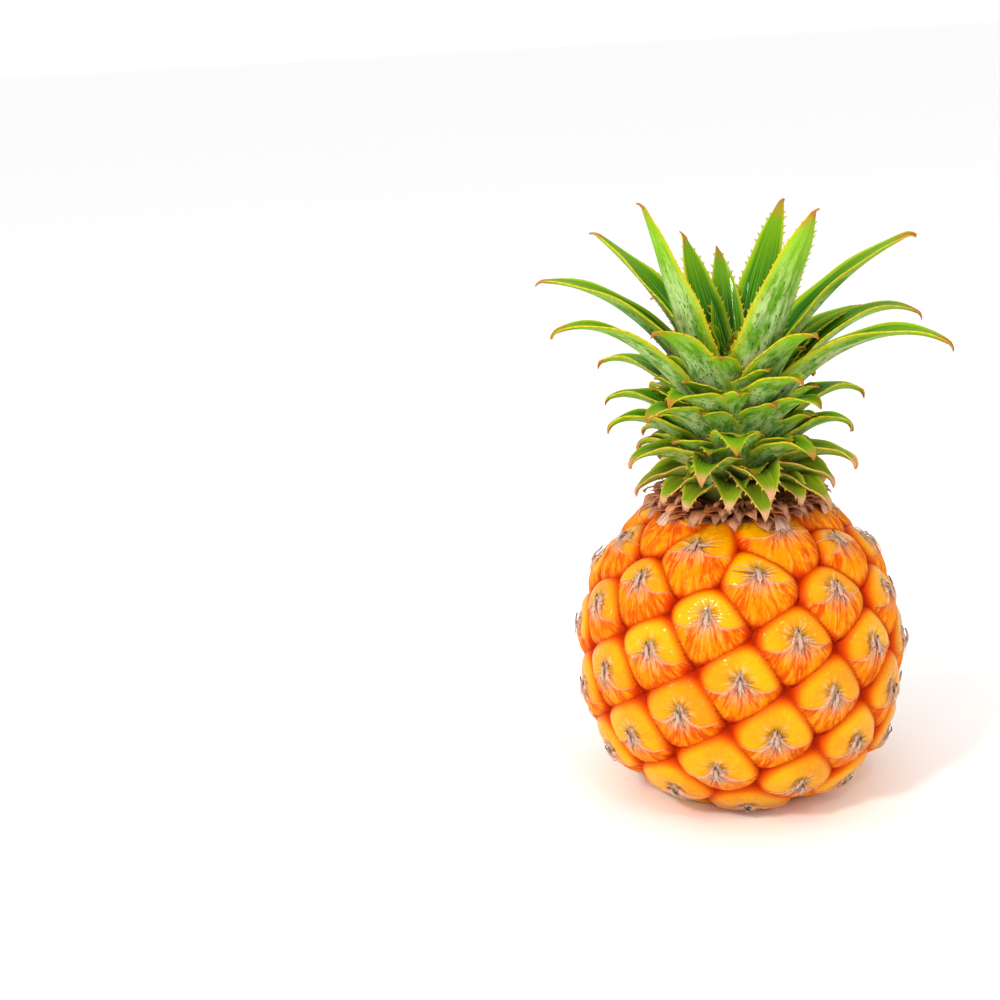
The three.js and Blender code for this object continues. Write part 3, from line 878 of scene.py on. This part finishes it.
# A blade: its fold at root and tip, hooked tip, root in the core, outline and spines
FOLD = (42, 14)
THICKNESS = 1.6
HOOK = 24
HOOK_STEP = 1.3
ROOT_LEAN = 24
ROOT_INSET = 4
WIDEST_SHARE = 0.25
TAPER = 1.9
LOW_TAPER_LOSS = 0.95
LOW_WIDENING = 0.35
TIP_WIDTH = 1.3
STEM_SCALES = 46
UPPER_LEAF_HEIGHT = 128
SEEN_LOWER = 23
LOW_LEAF_HEIGHTS = (112, 94)
LOW_LEAF_TINT = 0.85
SPINE_GAP = 2.6
SPINE_SIZE = 1.5
BLADE_STEPS = 44
UPPER_BLADE_STEPS = 56
SCALE_BLADE_STEPS = 22


def far_leaves():
    """Leaves of the far side, drawn in the same order as in the CAD source."""
    state = VARIATION["seed"]
    made = []
    for azimuth, reach, tip, root, width, lean in SEEN_LEAVES:
        if FAR_SIDE[0] < azimuth < FAR_SIDE[1]:
            draws = []
            for _ in range(4):
                state = (state * 16807) % 2147483647
                draws.append(2 * state / 2147483647 - 1)
            facing = 360 - azimuth + VARIATION["turn"] * draws[0]
            ends = (reach + VARIATION["reach"] * draws[1], tip + VARIATION["tip"] * draws[2])
            made.append((facing, *ends, root + VARIATION["root"] * draws[3], width, lean))
    return made


def heart_leaves():
    """Young leaves in the middle of the crown, and the six that close its heart."""
    young = [(30 + i * SPIRAL_STEP, 9 - i, 146 - 3 * i, 126 + 1.5 * i, 9, 16) for i in range(3)]
    return young + [(75 + i * SPIRAL_STEP, 2.5, 136 + i, 124, 9, 2) for i in range(6)]


def stem_scales(draws):
    """Short broad leaf bases that close round the stem between the longer leaves."""
    made = []
    for i in range(STEM_SCALES):
        share = (i + 0.5) / STEM_SCALES
        height = 93.5 + 27 * share
        turn = 100 + i * SPIRAL_STEP + draws.uniform(-6, 6)
        reach = float(core_radius(height)) + 6.5 + 5.0 * share + draws.uniform(-1, 2)
        rise = 7 + 12 * share + draws.uniform(-1.5, 1.5)
        made.append((turn, reach, height + rise, height, 16.5 - 3 * share, 75 - 25 * share))
    return made


def core_radius(height):
    """Radius at which leaves leave the core."""
    return np.interp(height, [z for _, z in CORE_PROFILE[1:]], [r for r, _ in CORE_PROFILE[1:]])


def heading_of(lean):
    """Way along a blade that leans outwards from upright, as radius and height."""
    return np.array([math.sin(math.radians(lean)), math.cos(math.radians(lean))])


def blade_line(root, tip, root_lean, tip_lean, steps, hook=HOOK):
    """Middle line of a blade as radius and height, with its headings and share of length."""
    root = np.array(root, float)
    tip = np.array(tip, float)
    bend = tip - HOOK_STEP * heading_of(tip_lean + 2 * hook)
    end = bend - HOOK_STEP * heading_of(tip_lean + hook)
    span = np.linalg.norm(end - root)
    handle = root + 0.42 * span * heading_of(root_lean)
    back = end - 0.3 * span * heading_of(tip_lean)
    t = np.linspace(0, 1, 200)[:, None]
    fine = (1 - t) ** 3 * root + 3 * (1 - t) ** 2 * t * handle + 3 * (1 - t) * t ** 2 * back + t ** 3 * end
    hooked = np.concatenate([fine, [bend + 0.15 * (end - bend)], [bend], [tip]])
    walked = np.concatenate([[0], np.cumsum(np.linalg.norm(np.diff(hooked, axis=0), axis=1))])
    wanted = np.linspace(0, walked[-1], steps)
    line = np.stack([np.interp(wanted, walked, hooked[:, k]) for k in (0, 1)], -1)
    ahead = np.gradient(line, axis=0)
    ahead = ahead / np.linalg.norm(ahead, axis=1)[:, None]
    return line, ahead, wanted / walked[-1], walked[-1]


def width_share(share, low):
    """Share of the full width along a leaf. Low leaves narrow sooner, to a drawn-out point."""
    taper = TAPER - LOW_TAPER_LOSS * low
    return 1 - (np.clip(share - WIDEST_SHARE, 0, 1) / (1 - WIDEST_SHARE)) ** taper


def raised(azimuth, line, inward, y, offset):
    """Points beside the middle line of a blade and raised off it, swung round the axis."""
    r = line[:, :1] + inward[:, :1] * offset
    z = line[:, 1:] + inward[:, 1:] * offset
    c = math.cos(math.radians(azimuth))
    s = math.sin(math.radians(azimuth))
    return np.stack([r * c + y * s, r * s - y * c, z], -1)


def add_blade(gather, leaf, draws, steps=BLADE_STEPS, wide=11, teeth=True, fold=FOLD, thickness=THICKNESS):
    """One leaf: a channelled blade with two faces, thin toothed margins and a dry hooked tip."""
    azimuth, root, tip, width, root_lean, tip_lean, low = leaf
    line, ahead, along, length = blade_line(root, tip, root_lean, tip_lean, steps)
    inward = np.stack([-ahead[:, 1], ahead[:, 0]], -1)
    broad = width * (1 + LOW_WIDENING * low) * width_share(along, low)
    half = np.maximum(np.maximum(broad, TIP_WIDTH * (1 - along ** 12)) / 2, 0.12)
    bent = np.radians(fold[0] + (fold[1] - fold[0]) * along)
    t = np.linspace(-1, 1, wide)
    phase = draws.uniform(0, 6.28, 4)
    wave = 0.35 * np.sin(along * 9 + phase[0]) + 0.2 * np.sin(along * 21 + phase[1])
    sway = 1.2 * np.sin(along * 3.1 + phase[2]) * along * draws.uniform(-1, 1)
    cup = np.abs(t) ** 1.7
    lift = half[:, None] * np.sin(bent)[:, None] * cup[None]
    lift = lift + wave[:, None] * (t ** 3)[None] * smooth(0.05, 0.4, along)[:, None]
    ribs = 0.09 * np.cos(t * 14 + phase[3])[None] * np.ones(steps)[:, None]
    y = half[:, None] * np.cos(bent * 0.9)[:, None] * t[None] + sway[:, None]
    thick = thickness * (1 - 0.4 * along)[:, None] * (1 - 0.85 * np.abs(t) ** 1.5)[None] / 2 + 0.09
    thick = thick * smooth(1.02, 0.93, along)[:, None] + 0.03
    mark = draws.random()
    shared = {"draw": mark, "low": low, "tooth": 0.0}
    for face in (0, 1):
        offset = lift + (1 if face else -1) * (thick + (ribs if face else -ribs * 0.5))
        points = raised(azimuth, line, inward, y, offset)
        places = {"along": np.repeat(along, wide), "across": np.tile(t, steps), "inner": float(face)}
        gather.add(points.reshape(-1, 3), grid_faces(steps, wide, flip=not face), **places, **shared)
    rim = []
    for column in (0, wide - 1):
        side_step = y[:, [column]]
        lower = raised(azimuth, line, inward, side_step, (lift - thick)[:, [column]])[:, 0]
        upper = raised(azimuth, line, inward, side_step, (lift + thick)[:, [column]])[:, 0]
        strip = np.stack([lower, upper], 1).reshape(-1, 3)
        places = {"along": np.repeat(along, 2), "across": 1.0, "inner": 0.5}
        gather.add(strip, grid_faces(steps, 2, flip=column == 0), **places, **shared)
        rim.append((lower + upper) / 2)
    if teeth:
        add_teeth(gather, rim, along, length, mark, low, draws)


def add_teeth(gather, rim, along, length, mark, low, draws):
    """Small forward-leaning spines along both margins."""
    count = max(3, int(length / SPINE_GAP))
    for hand, line in enumerate(rim):
        other = rim[1 - hand]
        shares = (np.arange(count) + 0.5 + 0.25 * draws.uniform(-1, 1, count)) / count
        for share in shares:
            if share < 0.06 or share > 0.93:
                continue
            size = SPINE_SIZE * (1 - 0.35 * share) * draws.uniform(0.75, 1.2)
            here = np.array([np.interp(share, along, line[:, k]) for k in range(3)])
            front = np.array([np.interp(share + 0.9 / length, along, line[:, k]) for k in range(3)])
            across = here - np.array([np.interp(share, along, other[:, k]) for k in range(3)])
            across = across / (np.linalg.norm(across) + 1e-9)
            ahead = front - here
            ahead = ahead / (np.linalg.norm(ahead) + 1e-9)
            over = np.cross(ahead, across) * 0.16
            tip = here + (across + ahead) * size
            back = here - ahead * 0.75 - across * 0.2
            fore = here + ahead * 0.55 - across * 0.2
            points = np.stack([back, here + over, fore, here - over, tip])
            faces = np.array([[0, 1, 4], [1, 2, 4], [2, 3, 4], [3, 0, 4]])
            values = {"along": min(share, 0.88), "across": 1.0, "draw": mark, "low": low, "inner": 0.3}
            values["tooth"] = np.array([0.2, 0.4, 0.2, 0.4, 1.0])
            gather.add(points, faces, **values)


def leaf_of(row, low=0.0):
    """A row of the leaf tables as add_blade takes it."""
    azimuth, reach, tip_height, root_height, width, lean = row
    root = (max(float(core_radius(root_height)) - ROOT_INSET, 0.5), root_height)
    return (azimuth, root, (reach, tip_height), width, min(ROOT_LEAN, lean), lean, low)


def lowness(row):
    """How much a leaf has the narrow point and the pink edge of the lowest ones."""
    return LOW_LEAF_TINT * float(smooth(*LOW_LEAF_HEIGHTS, row[2]))


def make_crown(material):
    """The leaves in two tiers, the stem that they grow from, and the leaf bases round it."""
    draws = np.random.default_rng(SEED + 3)
    far = far_leaves()
    lower = Gather()
    for row in SEEN_LEAVES[:SEEN_LOWER] + [leaf for leaf in far if leaf[2] < UPPER_LEAF_HEIGHT]:
        add_blade(lower, leaf_of(row, lowness(row)), draws)
    upper = Gather()
    high = SEEN_LEAVES[SEEN_LOWER:] + [leaf for leaf in far if leaf[2] >= UPPER_LEAF_HEIGHT]
    for row in high + TOP_LEAVES + heart_leaves():
        add_blade(upper, leaf_of(row), draws, steps=UPPER_BLADE_STEPS)
    inner = Gather()
    turns = full_turn(STEM_COLUMNS)
    faces = grid_faces(len(STEM_PROFILE), STEM_COLUMNS, wrap=True)
    stem = {"along": 0.02, "across": 0.2, "draw": 0.3, "low": 0.6, "inner": 0.0, "tooth": 0.0}
    inner.add(turned(STEM_PROFILE, turns), faces, **stem)
    scales = Gather()
    for row in stem_scales(draws):
        add_blade(scales, leaf_of(row), draws, steps=SCALE_BLADE_STEPS, wide=9)
    return [
        lower.piece("crown_lower_leaves", material),
        upper.piece("crown_upper_leaves", material),
        inner.piece("crown_stem", material),
        scales.piece("crown_stem_scales", material),
    ]


# The collar. Each row of bracts as half their number, root, tip and first turn
NECK_COLUMNS = 60
NECK_PROFILE = [(0.3, 89.3), (17, 89.3), (16.2, 91), (14.5, 92.3), (0.3, 92.3)]
COLLAR_ROWS = [
    (19, (17.5, 89.4), (26.5, 87.4), 9), (16, (14.5, 90.1), (26.5, 89.4), 4),
    (11, (13, 91.4), (22.4, 91.2), 15),
]
DRY_BRACT = {"teeth": False, "fold": (14, 4), "thickness": 0.6}
SHRED = {"teeth": False, "fold": (10, 4), "thickness": 0.35}
SHREDS = 110
TOP_ROW_RADIUS = 33.0
TOP_BEAK_ROOT = (27.2, 84.8)
TOP_BEAK_TIP = (21.5, 94.5)


def make_collar(material):
    """The neck with its rows of dry bracts, the beaks of the topmost eyes, and loose shreds."""
    draws = np.random.default_rng(SEED + 4)
    gather = Gather()
    turns = full_turn(NECK_COLUMNS)
    faces = grid_faces(len(NECK_PROFILE), NECK_COLUMNS, wrap=True)
    neck = {"along": 0.1, "across": 0.3, "draw": 0.5, "low": 0.0, "inner": 0.0, "tooth": 0.0}
    gather.add(turned(NECK_PROFILE, turns, 0.3 * np.sin(turns * 13)), faces, **neck)
    for count, root, tip, turn in COLLAR_ROWS:
        for i in range(2 * count):
            azimuth = turn + 180 * i / count + draws.uniform(-6, 6)
            far = (tip[0] + draws.uniform(-3.5, 2.5), tip[1] + draws.uniform(-0.4, 2.2))
            near = (root[0], root[1] + draws.uniform(-0.3, 0.5))
            leaf = (azimuth, near, far, draws.uniform(3.5, 6.5), 76, draws.uniform(80, 118), 0.0)
            add_blade(gather, leaf, draws, steps=14, wide=7, **DRY_BRACT)
    for own in np.flatnonzero((eyes.radius < TOP_ROW_RADIUS) & (eyes.length > side.end / 2)):
        azimuth = math.degrees(eyes.angle[own]) + draws.uniform(-4, 4)
        tip = (TOP_BEAK_TIP[0], TOP_BEAK_TIP[1] + draws.uniform(-1, 1))
        leaf = (azimuth, TOP_BEAK_ROOT, tip, 3.6, -8, -45, 0.9)
        add_blade(gather, leaf, draws, steps=16, wide=7, **DRY_BRACT)
    for _ in range(SHREDS):
        azimuth = draws.uniform(0, 360)
        lean = draws.uniform(45, 100)
        rise = draws.uniform(0.5, 3.5)
        far = (21.5 + draws.uniform(-2, 6.5), 89.8 + rise)
        leaf = (azimuth, (15.0, 90.2), far, draws.uniform(0.7, 1.6), 60, lean, 0.0)
        add_blade(gather, leaf, draws, steps=9, wide=3, **SHRED)
    return gather.piece("crown_collar_bracts", material)


# The cut stalk, from the middle of the cut outwards and up into the recess
STALK_COLUMNS = 72
STALK_PROFILE = [
    (0.2, 0.5), (3, 0.4), (6, 0.2), (8.6, 0.05), (9.3, 0.4), (9.4, 3.0), (9.4, 5.9), (0.2, 6.0),
]


def make_stalk(material):
    """The cut end of the stalk, with a rough cut face."""
    draws = np.random.default_rng(SEED + 5)
    turns = full_turn(STALK_COLUMNS)
    rows = []
    for k, (r, z) in enumerate(STALK_PROFILE):
        radius = r + 0.12 * np.sin(turns * 17 + k) * (r > 5) - 0.05 * (r > 9.2)
        height = z + 0.18 * draws.random(STALK_COLUMNS) * (z < 0.6)
        rows.append(np.stack([radius * np.cos(turns), radius * np.sin(turns), height], -1))
    faces = grid_faces(len(STALK_PROFILE), STALK_COLUMNS, wrap=True)
    return make_piece("stalk_stub", np.concatenate(rows), faces, material)


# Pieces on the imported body
fruit_pieces = [make_skin(skin_material()), make_bracts(bract_material()), *make_ends(base_material())]
for piece in fruit_pieces:
    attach(piece, "root")
    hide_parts("fruit")
for piece in make_crown(leaf_material()):
    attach(piece, "root")
    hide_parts("crown")
collar = make_collar(dry_material())
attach(collar, "root")
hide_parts("crown_collar")
stalk = make_stalk(stalk_material())
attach(stalk, "root")
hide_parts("stalk")

# Floor, light and camera
FLOOR_SIZE = 60.0
WORLD_STRENGTH = 1.0
LAMPS = [
    ("key", (-0.5, -0.75, 0.8), (0, 0, 0.07), 0.14, 4.6),
    ("side", (0.8, -0.5, 0.6), (0, 0, 0.08), 0.16, 0.8),
    ("spark_left", (-0.9, -0.3, 0.5), (0, 0, 0.06), 0.08, 0.8),
    ("spark_low", (-0.35, -0.95, 0.35), (0, 0, 0.05), 0.07, 0.6),
    ("spark_high", (0.25, -0.7, 0.95), (0, 0, 0.07), 0.08, 0.8),
]
CAMERA_ELEVATION = math.radians(20.8)
CAMERA_DISTANCE = 0.505
SENSOR_WIDTH = 36
TARGET = Vector((0, 0, 0.048))
ROLL = math.radians(0.6)
FOCAL_SHARE = 1.615
TARGET_RAY = (0.1477, -0.0803)
PICTURE_GAMMA = 0.82

corners = np.array([(-1, -1, 0), (1, -1, 0), (1, 1, 0), (-1, 1, 0)])
floor = make_piece("floor", corners * FLOOR_SIZE / 2 / MM, [[0, 1, 2, 3]], floor_material())

world = bpy.data.worlds.new("studio")
bpy.context.scene.world = world
world.use_nodes = True
background = world.node_tree.nodes["Background"]
background.inputs["Color"].default_value = (1.0, 1.0, 1.0, 1.0)
background.inputs["Strength"].default_value = WORLD_STRENGTH


def add_lamp(name, place, target, size, power):
    """A soft round lamp that shines at a target."""
    data = bpy.data.lights.new(name, "AREA")
    data.shape = "DISK"
    data.size = size
    data.energy = power
    lamp = bpy.data.objects.new(name, data)
    lamp.location = place
    lamp.rotation_euler = (Vector(target) - Vector(place)).to_track_quat("-Z", "Y").to_euler()
    bpy.context.scene.collection.objects.link(lamp)


for lamp_row in LAMPS:
    add_lamp(*lamp_row)


def make_camera():
    """The photograph's own view: from the front, a little above."""
    data = bpy.data.cameras.new("camera")
    data.sensor_width = SENSOR_WIDTH
    data.lens = SENSOR_WIDTH * FOCAL_SHARE
    camera = bpy.data.objects.new("camera", data)
    back = Vector((0, -math.cos(CAMERA_ELEVATION), math.sin(CAMERA_ELEVATION)))
    camera.location = TARGET + back * CAMERA_DISTANCE
    ahead = -back
    right = Vector((1, 0, 0))
    above = right.cross(ahead)
    seen_x = math.cos(ROLL) * right - math.sin(ROLL) * above
    seen_y = math.sin(ROLL) * right + math.cos(ROLL) * above
    world_axes = Matrix((seen_x, seen_y, -ahead)).transposed()
    # Turn the camera so that the target falls off the middle of the picture
    ray = Vector((*TARGET_RAY, -1)).normalized()
    turn = ray.rotation_difference(Vector((0, 0, -1)))
    camera.matrix_world = Matrix.Translation(camera.location) @ (world_axes @ turn.to_matrix()).to_4x4()
    data.clip_start = 0.01
    data.clip_end = 100
    bpy.context.scene.collection.objects.link(camera)
    bpy.context.scene.camera = camera


make_camera()
bpy.context.scene.view_settings.view_transform = "Standard"
bpy.context.scene.view_settings.gamma = PICTURE_GAMMA
bpy.context.view_layer.update()
